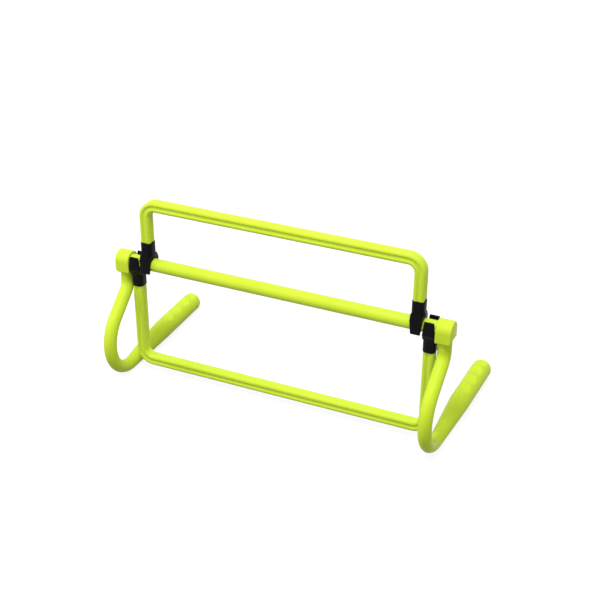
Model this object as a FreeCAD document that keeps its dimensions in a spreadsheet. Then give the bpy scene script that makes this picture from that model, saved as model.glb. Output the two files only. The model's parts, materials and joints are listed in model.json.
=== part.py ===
"""Folding training hurdle: a crossbar on two bent legs, with two U-shaped frames that flip about the bar.

Millimetres, +Z up, +X along the crossbar, +Y towards the tips of the feet. The origin lies on the floor
under the middle of the whole hurdle. The short inner frame stands up and the long outer frame hangs down.
"""
import FreeCAD, Part
import math
import os
import re

import Sketcher

SIZES = {
    # crossbar
    "leg_spacing": 413.6,
    "bar_height": 153,
    "bar_diameter": 16.6,
    "bar_wall": 2,
    "plug_length": 20,
    # corner caps
    "cap_inner_side": 9.2,
    "cap_outer_side": 9.4,
    "cap_depth": 23.6,
    "cap_drop": 14.3,
    "cap_end_wall": 3,
    "cap_roof": 1.2,
    "cap_chamfer": 4,
    "cap_round": 1.8,
    "stem_reach": 27,
    "socket_gap": 0.05,
    # legs
    "leg_diameter": 16.2,
    "leg_wall": 2.2,
    "leg_lean": 50,
    "toe_out": 1,
    "bend_drop": 27,
    "bend_radius": 19,
    "shin_radius": 46,
    "heel_radius": 44.7,
    "foot_diameter": 25,
    "foot_reach": 168,
    "swell_length": 80,
    "tip_round": 9,
    "tip_wall": 4,
    "sole_depth": 0.4,
    "grip_count": 4,
    "grip_pitch": 22.5,
    "grip_start": 11.5,
    "grip_radius": 32,
    "grip_depth": 1.5,
    # flip frames
    "inner_reach": 79.7,
    "outer_reach": 135.8,
    "corner_radius": 15,
    "tube_width": 13.4,
    "tube_depth": 13.6,
    "tube_round": 4,
    "flute_radius": 4.4,
    "flute_depth": 1.2,
    # snap clips
    "clip_width": 15.2,
    "clip_gap": 0.4,
    "cap_clip_gap": 0.4,
    "sleeve_depth": 16,
    "sleeve_round": 5.4,
    "rim_reach": 31,
    "socket_depth": 16,
    "shoulder_reach": 15,
    "jaw_shoulder": 7.4,
    "jaw_depth": 22,
    "jaw_reach": 9.4,
    "jaw_taper": 1.8,
    "jaw_round": 1.2,
    "mouth_width": 16.8,
    "throat_width": 14.7,
    "bearing_gap": 0.05,
    # screws and pins
    "screw_diameter": 3,
    "screw_gap": 0.05,
    "head_diameter": 5.6,
    "head_height": 1.8,
    "head_recess": 2,
    "bar_screw_length": 9,
    "leg_screw_drop": 20.5,
    "leg_screw_length": 7,
    "leg_flat_depth": 0.9,
    "pin_diameter": 2.5,
    "pin_reach": 23,
    "pin_recess": 0.3,
}

doc = FreeCAD.newDocument("hurdle")
sheet = doc.addObject("Spreadsheet::Sheet", "sizes")
for row, (alias, amount) in enumerate(SIZES.items(), start=1):
    sheet.set(f"A{row}", alias)
    sheet.set(f"B{row}", str(amount))
    sheet.setAlias(f"B{row}", alias)
doc.recompute()

# Lengths that several pieces share, in the words of the sheet
BAR_RADIUS = "bar_diameter / 2"
BORE_RADIUS = "(bar_diameter / 2 - bar_wall)"
LEG_RADIUS = "leg_diameter / 2"
LEG_BORE = "(leg_diameter / 2 - leg_wall)"
LEG_TOP = "(bar_diameter / 2 + cap_roof + 2 * socket_gap)"
HEEL_AXIS = "(leg_diameter / 2 - sole_depth)"
SHIN_RUN = (
    "((bar_height - bend_drop - (bend_radius + shin_radius) * sin(leg_lean)"
    f" - heel_radius - {HEEL_AXIS}) / cos(leg_lean))"
)
BEND_END = "(-bend_radius * (1 - cos(leg_lean)))"
SHIN_END = f"({BEND_END} - {SHIN_RUN} * sin(leg_lean))"
KNEE_FRONT = f"({SHIN_END} - shin_radius * (1 - cos(leg_lean)))"
HEEL_END = f"({KNEE_FRONT} + heel_radius)"
FOOT_BACK = (
    "((foot_reach - tip_round) * cos(toe_out) + tip_round"
    " + (foot_diameter / 2 - tip_round) * sin(toe_out))"
)
BAR_SETBACK = f"(-({FOOT_BACK} + {KNEE_FRONT} * cos(toe_out) - {LEG_RADIUS}) / 2)"
TUBE_START = "(rim_reach - socket_depth + socket_gap)"
OUTER_SPAN = "(leg_spacing - 2 * (cap_inner_side + cap_clip_gap) - clip_width)"
INNER_SPAN = f"({OUTER_SPAN} - 2 * (clip_width + clip_gap))"
UPRIGHT = (0, 0, 1)
# Two lengths closer than this are the same, and a cut that takes less than this took nothing
SAME_LENGTH = 1e-4
LEAST_CUT = 1e-3


def cell(words):
    """Rewrites an expression in the sheet's words so that any object of the document can hold it."""
    return re.sub(r"[a-z]+(?:_[a-z]+)+", lambda found: "sizes." + found.group(), words)


def number(words):
    """The present value of an expression in the sheet's words."""
    return float(sheet.evalExpression(words))


def bind(thing, **properties):
    """Ties properties to expressions; a double underscore in a name stands for a dot."""
    for name, words in properties.items():
        thing.setExpression(name.replace("__", "."), cell(words))


def new_body(label, x="0", y=BAR_SETBACK, z="bar_height", turn="0", axis=(1, 0, 0)):
    """A body whose own origin stands at x, y, z, turned about an axis by an angle in degrees."""
    body = doc.addObject("PartDesign::Body", label)
    body.Label = label
    body.Placement = FreeCAD.Placement(FreeCAD.Vector(), FreeCAD.Rotation(FreeCAD.Vector(*axis), 90))
    bind(body, Placement__Base__x=x, Placement__Base__y=y, Placement__Base__z=z)
    bind(body, Placement__Rotation__Angle=turn)
    return body


def new_sketch(body, plane, lift="0"):
    """A sketch on one of the body's own origin planes, moved along the plane's normal."""
    sketch = body.newObject("Sketcher::SketchObject", body.Label + "_sketch")
    support = next(item for item in body.Origin.OriginFeatures if item.Role == plane)
    sketch.AttachmentSupport = [(support, "")]
    sketch.MapMode = "FlatFace"
    bind(sketch, AttachmentOffset__Base__z=lift)
    return sketch


def swing(sketch, axis, turn):
    """Turns a sketch about an axis through its own origin."""
    sketch.AttachmentOffset = FreeCAD.Placement(
        sketch.AttachmentOffset.Base, FreeCAD.Rotation(FreeCAD.Vector(*axis), 90))
    bind(sketch, AttachmentOffset__Rotation__Angle=turn)


def hold(sketch, kind, words, *ends):
    """Adds one dimension to a sketch and ties it to an expression."""
    index = sketch.addConstraint(Sketcher.Constraint(kind, *ends, number(words)))
    name = f"{kind}{index}"
    sketch.renameConstraint(index, name)
    sketch.setExpression("Constraints." + name, cell(words))


def hold_point(sketch, edge, end, across, up):
    """Fixes a point of an edge by its two distances from the sketch's origin."""
    hold(sketch, "DistanceX", across, -1, 1, edge, end)
    hold(sketch, "DistanceY", up, -1, 1, edge, end)


def add_circle(sketch, radius, across="0", up="0"):
    """A circle with its centre and radius tied to the sheet."""
    centre = FreeCAD.Vector(number(across), number(up), 0)
    edge = sketch.addGeometry(Part.Circle(centre, FreeCAD.Vector(0, 0, 1), number(radius)))
    hold_point(sketch, edge, 3, across, up)
    hold(sketch, "Radius", radius, edge)


def arc_between(start, end, radius, turn):
    """The arc of under a half circle from start to end; turn is 1 for a left-hand bend, -1 for a right-hand one."""
    chord = end - start
    middle = (start + end) / 2
    side = FreeCAD.Vector(-chord.y, chord.x, 0).normalize()
    centre = middle + side * turn * math.sqrt(radius ** 2 - (chord.Length / 2) ** 2)
    first, last = (start, end) if turn > 0 else (end, start)
    angles = [math.atan2(point.y - centre.y, point.x - centre.x) for point in (first, last)]
    circle = Part.Circle(centre, FreeCAD.Vector(0, 0, 1), radius)
    return Part.ArcOfCircle(circle, angles[0], angles[1])


def add_outline(sketch, corners, bends=None, closed=True):
    """Edges through corners given as pairs of expressions; bends maps an edge's index to its radius and turn."""
    bends = bends or {}
    points = [FreeCAD.Vector(number(across), number(up), 0) for across, up in corners]
    count = len(points) if closed else len(points) - 1
    starts, ends = [], []
    for index in range(count):
        start, end = points[index], points[(index + 1) % len(points)]
        if index in bends:
            radius, turn = bends[index]
            edge = sketch.addGeometry(arc_between(start, end, number(radius), turn))
            hold(sketch, "Radius", radius, edge)
        else:
            turn = 1
            edge = sketch.addGeometry(Part.LineSegment(start, end))
        starts.append((edge, 1 if turn > 0 else 2))
        ends.append((edge, 2 if turn > 0 else 1))
    for index in range(count):
        hold_point(sketch, *starts[index], *corners[index])
        if closed or index + 1 < count:
            sketch.addConstraint(Sketcher.Constraint("Coincident", *ends[index], *starts[(index + 1) % count]))
    if not closed:
        hold_point(sketch, *ends[-1], *corners[-1])


def add_rounded_rectangle(sketch, half_width, half_depth, radius, across="0"):
    """A rectangle with round corners about a centre that lies on the sketch's horizontal axis."""
    corners = []
    for right, back in ((1, -1), (1, 1), (-1, 1), (-1, -1)):
        far = (f"{across} + {right} * ({half_width})", f"{back} * ({half_depth} - {radius})")
        near = (f"{across} + {right} * ({half_width} - {radius})", f"{back} * ({half_depth})")
        corners += [near, far] if right * back < 0 else [far, near]
    add_outline(sketch, corners, {index: (radius, 1) for index in (0, 2, 4, 6)})


def add_feature(body, kind, profile, **settings):
    """One PartDesign feature made from a sketch, with plain settings."""
    feature = body.newObject("PartDesign::" + kind, body.Label + "_" + kind.lower())
    feature.Profile = profile
    for name, setting in settings.items():
        setattr(feature, name, setting)
    return feature


def cut(body, kind, sketch, **settings):
    """Takes a sketch's pocket or pipe out of a body and makes sure that it took something away."""
    doc.recompute()
    before = body.Shape.Volume
    feature = add_feature(body, kind, sketch, **settings)
    doc.recompute()
    if not body.Shape.Volume < before - LEAST_CUT:
        raise RuntimeError(f"{body.Label}: a cut removed nothing")
    return feature


def cut_through(body, sketch, **settings):
    """Pockets a sketch right through a body."""
    cut(body, "Pocket", sketch, Type="ThroughAll", **settings)


def cut_depth(body, sketch, depth, **settings):
    """Pockets a sketch to a depth."""
    bind(cut(body, "Pocket", sketch, **settings), Length=depth)


def soften(body, kind, amount, wanted):
    """Fillets or chamfers the edges that the test wanted picks from the body's present shape."""
    doc.recompute()
    base = body.Tip
    names = [f"Edge{index}" for index, edge in enumerate(base.Shape.Edges, start=1) if wanted(edge)]
    feature = body.newObject("PartDesign::" + kind, body.Label + "_" + kind.lower())
    feature.Base = (base, names)
    bind(feature, **{"Radius" if kind == "Fillet" else "Size": amount})
    doc.recompute()


def near(first, second):
    """Whether two lengths agree."""
    return abs(first - second) < SAME_LENGTH


def spans(edge, axis):
    """How far an edge reaches along one axis, as its lowest and highest place."""
    box = edge.BoundBox
    return {"x": (box.XMin, box.XMax), "y": (box.YMin, box.YMax), "z": (box.ZMin, box.ZMax)}[axis]


def lies_at(edge, axis, place):
    """Whether a whole edge lies in the plane at one place along an axis."""
    low, high = spans(edge, axis)
    return near(low, place) and near(high, place)


def make_crossbar():
    """The round tube, drilled from behind at both ends for the screws of the caps."""
    body = new_body("crossbar")
    ring = new_sketch(body, "YZ_Plane")
    add_circle(ring, BAR_RADIUS)
    add_circle(ring, BORE_RADIUS)
    pad = add_feature(body, "Pad", ring, SideType="Symmetric")
    bind(pad, Length="leg_spacing + 2 * (cap_outer_side - cap_end_wall - socket_gap)")
    holes = new_sketch(body, "XZ_Plane")
    for side in (-1, 1):
        add_circle(holes, "screw_diameter / 2 + screw_gap", f"{side} * leg_spacing / 2")
    cut_through(body, holes)
    return body


def make_end_plug(label, side):
    """A plug flush with the end of the crossbar, with a pilot hole for the screw."""
    body = new_body(label, x=f"{side} * leg_spacing / 2")
    disc = new_sketch(body, "YZ_Plane", f"{side} * (cap_outer_side - cap_end_wall - socket_gap)")
    add_circle(disc, f"{BORE_RADIUS} - socket_gap")
    bind(add_feature(body, "Pad", disc, Reversed=side > 0), Length="plug_length")
    pilot = new_sketch(body, "XZ_Plane")
    add_circle(pilot, "screw_diameter / 2 + screw_gap")
    cut_through(body, pilot, SideType="Symmetric")
    return body


def make_corner_cap(label, side):
    """An arch-topped elbow: a blind bore for the bar, and a ring socket with a stem for the leg."""
    body = new_body(label, x=f"{side} * leg_spacing / 2")
    half_depth = "cap_depth / 2"
    inner_face = f"{-side} * cap_inner_side"
    length = "(cap_inner_side + cap_outer_side)"

    arch = new_sketch(body, "YZ_Plane", inner_face)
    corners = [("-cap_depth / 2", "-cap_drop"), (half_depth, "-cap_drop"), (half_depth, "0"), ("0", half_depth)]
    corners.append(("-cap_depth / 2", "0"))
    add_outline(arch, corners, {2: (half_depth, 1), 3: (half_depth, 1)})
    bind(add_feature(body, "Pad", arch, Reversed=side < 0), Length=length)

    outer_place = side * number("cap_outer_side")
    bottom = -number("cap_drop")
    soften(body, "Chamfer", "cap_chamfer", lambda edge: lies_at(edge, "x", outer_place) and lies_at(edge, "z", bottom))
    soften(body, "Fillet", "cap_round", lambda edge: lies_at(edge, "x", outer_place))

    bore = new_sketch(body, "YZ_Plane", inner_face)
    add_circle(bore, f"{BAR_RADIUS} + socket_gap")
    cut_depth(body, bore, f"{length} - cap_end_wall", Reversed=side > 0)
    roof = f"({BAR_RADIUS} + cap_roof + socket_gap)"
    socket = new_sketch(body, "XY_Plane", "-cap_drop")
    add_circle(socket, f"{LEG_RADIUS} + socket_gap")
    cut_depth(body, socket, f"cap_drop - {roof}", Reversed=True)
    stem = new_sketch(body, "XY_Plane", f"-{roof}")
    add_circle(stem, f"{LEG_BORE} - socket_gap")
    bind(add_feature(body, "Pad", stem, Reversed=True), Length=f"stem_reach - {roof}")

    screw_hole = new_sketch(body, "XZ_Plane")
    add_circle(screw_hole, "screw_diameter / 2 + screw_gap")
    cut_through(body, screw_hole)
    stem_hole = new_sketch(body, "XZ_Plane")
    add_circle(stem_hole, "screw_diameter / 2 + screw_gap", "0", "-leg_screw_drop")
    swing(stem_hole, (0, 1, 0), f"{-side} * toe_out")
    cut_through(body, stem_hole, SideType="Symmetric")
    head_seat = new_sketch(body, "XZ_Plane", "head_recess - cap_depth / 2")
    add_circle(head_seat, "head_diameter / 2 + screw_gap")
    cut_through(body, head_seat)
    return body


def make_leg(label, side):
    """A hollow bent tube that ends in a swelling foot with a flat sole and finger scallops on its top."""
    body = new_body(label, x=f"{side} * leg_spacing / 2", z="0", turn=f"{-side} * toe_out", axis=UPRIGHT)
    bend_top = "(bar_height - bend_drop)"
    bend_low = f"({bend_top} - bend_radius * sin(leg_lean))"
    shin_low = f"({bend_low} - {SHIN_RUN} * cos(leg_lean))"
    knee_low = f"({shin_low} - shin_radius * sin(leg_lean))"
    leg_top = f"(bar_height - {LEG_TOP})"

    route = new_sketch(body, "YZ_Plane")
    corners = [("0", leg_top), ("0", bend_top), (BEND_END, bend_low), (SHIN_END, shin_low)]
    corners += [(KNEE_FRONT, knee_low), (HEEL_END, HEEL_AXIS)]
    bends = {1: ("bend_radius", -1), 3: ("shin_radius", 1), 4: ("heel_radius", 1)}
    add_outline(route, corners, bends, closed=False)
    ring = new_sketch(body, "XY_Plane", leg_top)
    add_circle(ring, LEG_RADIUS)
    add_circle(ring, LEG_BORE)
    add_feature(body, "AdditivePipe", ring, Spine=(route, []))
    doc.recompute()

    def foot_section(place, radius, axis_height):
        section = new_sketch(body, "XZ_Plane", f"-({place})")
        add_circle(section, radius, "0", axis_height)
        return section

    foot_axis = "(foot_diameter / 2 - sole_depth)"
    heel = foot_section(HEEL_END, LEG_RADIUS, HEEL_AXIS)
    ball = foot_section(f"{HEEL_END} + swell_length", "foot_diameter / 2", foot_axis)
    toe = foot_section("foot_reach", "foot_diameter / 2", foot_axis)
    add_feature(body, "AdditiveLoft", heel, Sections=[ball, toe], Ruled=True)
    tip_place = number("foot_reach")
    soften(body, "Fillet", "tip_round", lambda edge: lies_at(edge, "y", tip_place))
    heel_bore = foot_section(HEEL_END, LEG_BORE, HEEL_AXIS)
    toe_bore = foot_section("foot_reach - tip_round - tip_wall", LEG_BORE, foot_axis)
    cut(body, "SubtractiveLoft", heel_bore, Sections=[toe_bore], Ruled=True)

    for index in range(int(number("grip_count"))):
        place = f"(foot_reach - grip_start - {index} * grip_pitch)"
        scallop = new_sketch(body, "YZ_Plane")
        add_circle(scallop, "grip_radius", place, "foot_diameter - sole_depth + grip_radius - grip_depth")
        cut_through(body, scallop, SideType="Symmetric")

    floor = new_sketch(body, "XY_Plane")
    left, right = "-foot_diameter", "foot_diameter"
    front, back = f"{KNEE_FRONT} - leg_diameter", "foot_reach + foot_diameter"
    add_outline(floor, [(left, front), (right, front), (right, back), (left, back)])
    cut_through(body, floor)
    screw_hole = new_sketch(body, "XZ_Plane")
    add_circle(screw_hole, "screw_diameter / 2 + screw_gap", "0", "bar_height - leg_screw_drop")
    cut_through(body, screw_hole)
    head_flat = new_sketch(body, "XZ_Plane", f"leg_flat_depth - {LEG_RADIUS}")
    add_circle(head_flat, "head_diameter / 2 + screw_gap", "0", "bar_height - leg_screw_drop")
    cut_through(body, head_flat)
    return body


def make_frame(label, span, reach, turn):
    """A U-shaped bar with a shallow flute along its front and its back."""
    body = new_body(label, turn=turn)
    half_span = f"{span} / 2"
    route = new_sketch(body, "XZ_Plane")
    corners = [(f"-{half_span}", TUBE_START), (f"-{half_span}", f"{reach} - corner_radius")]
    corners += [(f"corner_radius - {half_span}", reach), (f"{half_span} - corner_radius", reach)]
    corners += [(half_span, f"{reach} - corner_radius"), (half_span, TUBE_START)]
    bends = {1: ("corner_radius", -1), 3: ("corner_radius", -1)}
    add_outline(route, corners, bends, closed=False)
    across = FreeCAD.Vector(0, 1, 0)

    section = new_sketch(body, "XY_Plane", TUBE_START)
    add_rounded_rectangle(section, "tube_width / 2", "tube_depth / 2", "tube_round", f"-{half_span}")
    add_feature(body, "AdditivePipe", section, Spine=(route, []), Mode="Binormal", Binormal=across)
    for face in (-1, 1):
        flute = new_sketch(body, "XY_Plane", TUBE_START)
        add_circle(flute, "flute_radius", f"-{half_span}", f"{face} * (tube_depth / 2 + flute_radius - flute_depth)")
        cut(body, "SubtractivePipe", flute, Spine=(route, []), Mode="Binormal", Binormal=across)
    pin_holes = new_sketch(body, "XZ_Plane")
    for side in (-1, 1):
        add_circle(pin_holes, "pin_diameter / 2 + screw_gap", f"{side} * {half_span}", "pin_reach")
    cut_through(body, pin_holes, SideType="Symmetric")
    return body


def make_clip(label, side, span, turn):
    """A sleeve for the frame's end above two jaws that snap over the crossbar."""
    body = new_body(label, x=f"{side} * {span} / 2", turn=turn)
    half_sleeve = "sleeve_depth / 2"
    half_jaw = "jaw_depth / 2"
    bearing = f"({BAR_RADIUS} + bearing_gap)"
    throat_drop = f"sqrt({bearing} ^ 2 - (throat_width / 2) ^ 2)"

    right = [(half_sleeve, "shoulder_reach"), (half_jaw, "jaw_shoulder"), (half_jaw, "-jaw_reach")]
    right += [("mouth_width / 2", "-jaw_reach"), ("throat_width / 2", f"-{throat_drop}")]
    left = [(f"-{across}", up) for across, up in reversed(right)]
    profile = new_sketch(body, "YZ_Plane")
    add_outline(profile, right + [("0", bearing)] + left, {4: (bearing, 1), 5: (bearing, 1)})
    bind(add_feature(body, "Pad", profile, SideType="Symmetric"), Length="clip_width")

    half_width = "clip_width / 2"
    tapers = new_sketch(body, "XZ_Plane")
    for hand in (-1, 1):
        edge_top = (f"{hand} * {half_width}", bearing)
        edge_low = (f"{hand} * {half_width}", "-2 * jaw_reach")
        slope = f"jaw_taper * (2 * jaw_reach + {bearing}) / (jaw_reach + {bearing})"
        inner_low = (f"{hand} * ({half_width} - {slope})", "-2 * jaw_reach")
        add_outline(tapers, [edge_top, edge_low, inner_low])
    cut_through(body, tapers, SideType="Symmetric")
    tip = -number("jaw_reach")
    soften(body, "Fillet", "jaw_round", lambda edge: lies_at(edge, "z", tip) and near(*spans(edge, "y")))

    sleeve = new_sketch(body, "XY_Plane", f"({bearing} + shoulder_reach) / 2")
    add_rounded_rectangle(sleeve, half_width, half_sleeve, "sleeve_round")
    bind(add_feature(body, "Pad", sleeve), Length=f"rim_reach - ({bearing} + shoulder_reach) / 2")
    socket = new_sketch(body, "XY_Plane", "rim_reach")
    add_rounded_rectangle(
        socket, "tube_width / 2 + socket_gap", "tube_depth / 2 + socket_gap", "tube_round + socket_gap")
    cut_depth(body, socket, "socket_depth")
    pin_hole = new_sketch(body, "XZ_Plane")
    add_circle(pin_hole, "pin_diameter / 2 + screw_gap", "0", "pin_reach")
    cut_through(body, pin_hole, SideType="Symmetric")
    return body


def make_screw(label, length, head_place, **place):
    """A pan-head screw along Y, with its head's underside at head_place and its point towards -Y."""
    body = new_body(label, **place)
    half = new_sketch(body, "XY_Plane")
    shank, head = "screw_diameter / 2", "head_diameter / 2"
    tip, cone = f"({head_place} - {length})", f"({head_place} - {length} + screw_diameter / 2)"
    crown = f"({head_place} + head_height)"
    corners = [("0", tip), (shank, cone), (shank, head_place), (head, head_place)]
    corners += [(head, f"{crown} - head_height / 2"), (f"{head} - head_height / 2", crown), ("0", crown)]
    add_outline(half, corners, {4: ("head_height / 2", 1)})
    add_feature(body, "Revolution", half, ReferenceAxis=(half, ["V_Axis"]))
    return body


def make_pin(label, **place):
    """A plain pin along Y through a clip's sleeve and the frame's end in it."""
    body = new_body(label, **place)
    disc = new_sketch(body, "XZ_Plane")
    add_circle(disc, "pin_diameter / 2", "0", "pin_reach")
    bind(add_feature(body, "Pad", disc, SideType="Symmetric"), Length="sleeve_depth - 2 * pin_recess")
    return body


def group(label, bodies):
    """Like pieces kept together under one name, each still its own solid."""
    compound = doc.addObject("Part::Compound", label)
    compound.Label = label
    compound.Links = bodies
    return compound


SIDES = (("left", -1), ("right", 1))
# The short frame stands up, and the long one is turned over and hangs straight down.
FLIPS = (
    ("inner", INNER_SPAN, "inner_reach", "0"),
    ("outer", OUTER_SPAN, "outer_reach", "180"),
)

pieces = [make_crossbar()]
bar_screws = []
leg_screws = []
for name, side in SIDES:
    beside = f"{side} * leg_spacing / 2"
    pieces.append(make_end_plug(f"{name}_end_plug", side))
    pieces.append(make_corner_cap(f"{name}_corner_cap", side))
    pieces.append(make_leg(f"{name}_leg", side))
    cap_seat = "(cap_depth / 2 - head_recess)"
    bar_screws.append(make_screw(f"{name}_bar_screw", "bar_screw_length", cap_seat, x=beside))
    leg_seat = f"({LEG_RADIUS} - leg_flat_depth)"
    leg_place = {"x": beside, "z": "bar_height - leg_screw_drop", "turn": f"{-side} * toe_out", "axis": UPRIGHT}
    leg_screws.append(make_screw(f"{name}_leg_screw", "leg_screw_length", leg_seat, **leg_place))
pieces.append(group("bar_screws", bar_screws))
pieces.append(group("leg_screws", leg_screws))

for flip, span, reach, turn in FLIPS:
    pieces.append(make_frame(f"{flip}_frame", span, reach, turn))
    pins = []
    for name, side in SIDES:
        pieces.append(make_clip(f"{flip}_{name}_clip", side, span, turn))
        pins.append(make_pin(f"{flip}_{name}_pin", x=f"{side} * {span} / 2", turn=turn))
    pieces.append(group(f"{flip}_clip_pins", pins))

doc.recompute()
for item in doc.Objects:
    if "Invalid" in item.State or "Error" in item.State:
        raise RuntimeError(f"{item.Label} failed: {item.State}")
os.makedirs("parts", exist_ok=True)
for piece in pieces:
    if piece.Shape.isNull() or not piece.Shape.isValid():
        raise RuntimeError(f"{piece.Label} has no valid shape")
for piece in pieces:
    piece.Shape.exportStep(f"parts/{piece.Label}.step")
    box = piece.Shape.BoundBox
    print(f"{piece.Label}: {len(piece.Shape.Solids)} solid(s), {piece.Shape.Volume / 1000:.2f} cm3, "
          f"x {box.XMin:.1f} to {box.XMax:.1f}, y {box.YMin:.1f} to {box.YMax:.1f}, z {box.ZMin:.1f} to {box.ZMax:.1f}")
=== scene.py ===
"""Dresses a folding training hurdle: its moulded pieces, its plastics and a white studio."""
import json
import math

import bmesh
import bpy
from bpy.props import FloatProperty, FloatVectorProperty, IntProperty, PointerProperty
from mathutils import Matrix, Vector


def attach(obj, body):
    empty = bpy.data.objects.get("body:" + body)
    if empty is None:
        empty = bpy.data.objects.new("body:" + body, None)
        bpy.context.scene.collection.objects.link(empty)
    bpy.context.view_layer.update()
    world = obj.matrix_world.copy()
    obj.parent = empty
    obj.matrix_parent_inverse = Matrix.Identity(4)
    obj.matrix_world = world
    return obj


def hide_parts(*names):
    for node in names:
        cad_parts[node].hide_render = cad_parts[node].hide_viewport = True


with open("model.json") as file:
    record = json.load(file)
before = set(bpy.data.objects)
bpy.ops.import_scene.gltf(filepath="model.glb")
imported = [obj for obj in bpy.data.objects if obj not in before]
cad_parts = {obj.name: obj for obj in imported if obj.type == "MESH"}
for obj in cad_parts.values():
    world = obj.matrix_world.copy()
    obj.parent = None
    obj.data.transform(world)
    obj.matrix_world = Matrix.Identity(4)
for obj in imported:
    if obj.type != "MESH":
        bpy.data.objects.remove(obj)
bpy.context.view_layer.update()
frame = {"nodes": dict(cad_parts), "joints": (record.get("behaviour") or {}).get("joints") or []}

bl_info = {
    "name": "Training Hurdle",
    "version": (1, 0, 0),
    "blender": (4, 5, 0),
    "location": "View3D > Sidebar > Hurdle",
    "description": "Builds a training hurdle with two flip-up frames, its plastics and a white studio",
    "category": "Add Mesh",
}

BAR_AXIS = Vector(frame["joints"][0]["pos_m"])
SIDES = (("left", -1), ("right", 1))

# Fineness of the meshes
ROUND_SIDES = 64
CORNER_STEPS = 8
EDGE_STEPS = 4
LEG_BEND_STEPS = 3 * CORNER_STEPS
FRAME_BEND_STEPS = 2 * CORNER_STEPS
ROUTE_STEP = 0.0008
MERGE_REACH = ROUTE_STEP / 100
CREASE = math.radians(32)

# Shares and limits that keep the shapes clean
SHARPEST_MOVE = 0.5
FLUTE_ARC = 0.62
GRIP_RISE = 10.0
CROWN_TURN = math.radians(77)

# Patterns of the finishes: how many to the metre, and how strongly they show
TONE_LOW = 0.3
TONE_HIGH = 0.7
PLASTIC_TONE_SCALE = 22
PLASTIC_GLOSS_SCALE = 160
PLASTIC_GRAIN_STRENGTH = 0.35
STEEL_TONE_SCALE = 400
STEEL_GLOSS_SCALE = 900
STEEL_GRAIN_SCALE = 2500
STEEL_GRAIN_STRENGTH = 0.2
STEEL_GRAIN_HEIGHT = 0.00005
STEEL_ROUGHNESS = (0.28, 0.42)
WHITE = (1, 1, 1, 1)


# Sizes and colours

def amount(name, description, default, **settings):
    """A property for a number."""
    return FloatProperty(name=name, description=description, default=default, **settings)


def length(name, description, default):
    """A property for a length in metres."""
    return amount(name, description, default, min=0, unit="LENGTH", precision=4)


def angle(name, description, degrees):
    """A property for an angle given in degrees."""
    return amount(name, description, math.radians(degrees), subtype="ANGLE")


def colour(name, description, default):
    """A property for a linear colour."""
    return FloatVectorProperty(name=name, description=description, default=default, subtype="COLOR",
                               size=3, min=0, max=1)


def spot(name, description, default):
    """A property for a place in metres."""
    return FloatVectorProperty(name=name, description=description, default=default, subtype="TRANSLATION",
                               size=3, unit="LENGTH")


class BarSizes(bpy.types.PropertyGroup):
    """Sizes of the crossbar."""
    diameter: length("Diameter", "Outside of the crossbar's tube", 0.0166)
    wall: length("Wall", "Wall of the crossbar's tube", 0.002)
    edge: length("Edge", "Chamfer of the tube's ends", 0.0003)


class CapSizes(bpy.types.PropertyGroup):
    """Sizes of the corner caps."""
    leg_spacing: length("Leg spacing", "Between the axes of the two legs", 0.4136)
    inner_side: length("Inner side", "From the leg's axis to the cap's inner face", 0.0092)
    outer_side: length("Outer side", "From the leg's axis to the cap's outer face", 0.0094)
    depth: length("Depth", "Front to back", 0.0236)
    drop: length("Drop", "From the bar's axis to the cap's underside", 0.0143)
    end_wall: length("End wall", "Wall between the crossbar's end and the outer face", 0.003)
    chamfer: length("Chamfer", "Bevel under the outer face", 0.004)
    outer_round: length("Outer round", "Rounding of the outer face's edge", 0.0018)
    inner_round: length("Inner round", "Rounding of the inner face's edge", 0.0006)
    foot_round: length("Foot round", "Rounding of the lower front and back edges", 0.0022)
    socket_gap: length("Socket gap", "Play of the crossbar and the legs in their sockets", 0.00005)
    roof: length("Roof", "Between the crossbar and the top of the leg's socket", 0.0012)
    stem_reach: length("Stem reach", "From the bar's axis to the end of the stem in the leg", 0.027)


class LegSizes(bpy.types.PropertyGroup):
    """Sizes of the legs and their feet."""
    diameter: length("Diameter", "Outside of the leg's tube", 0.0162)
    wall: length("Wall", "Wall of the leg's tube", 0.0022)
    lean: angle("Lean", "Forward lean of the leg's straight run", 50)
    toe_out: angle("Toe out", "Turn of the feet outwards", 1)
    bend_drop: length("Bend drop", "From the bar's axis down to the first bend", 0.027)
    bend_radius: length("Bend radius", "First bend, under the cap", 0.019)
    shin_radius: length("Shin radius", "Bend back to upright above the floor", 0.046)
    heel_radius: length("Heel radius", "Bend into the foot", 0.0447)
    foot_diameter: length("Foot diameter", "Foot at its rounded end", 0.025)
    foot_reach: length("Foot reach", "From the leg's upright line back to the foot's end", 0.168)
    swell_length: length("Swell length", "Over which the leg swells into the foot", 0.08)
    swell_bend: length("Swell bend", "Gentle bend of the foot's axis where the swell ends", 0.3)
    tip_round: length("Tip round", "Rounding of the foot's end", 0.009)
    sole_depth: length("Sole depth", "How deep the flat sole is cut into the foot", 0.0004)
    grip_count: IntProperty(name="Grip count", description="Finger scallops on each foot", default=4, min=1)
    grip_pitch: length("Grip pitch", "Between neighbouring scallops", 0.0225)
    grip_start: length("Grip start", "From the foot's end to the first scallop", 0.0115)
    grip_radius: length("Grip radius", "Curve of a scallop", 0.021)
    grip_depth: length("Grip depth", "Depth of a scallop", 0.0026)
    grip_blend: length("Grip blend", "Softness of a scallop's rim", 0.0006)


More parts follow.
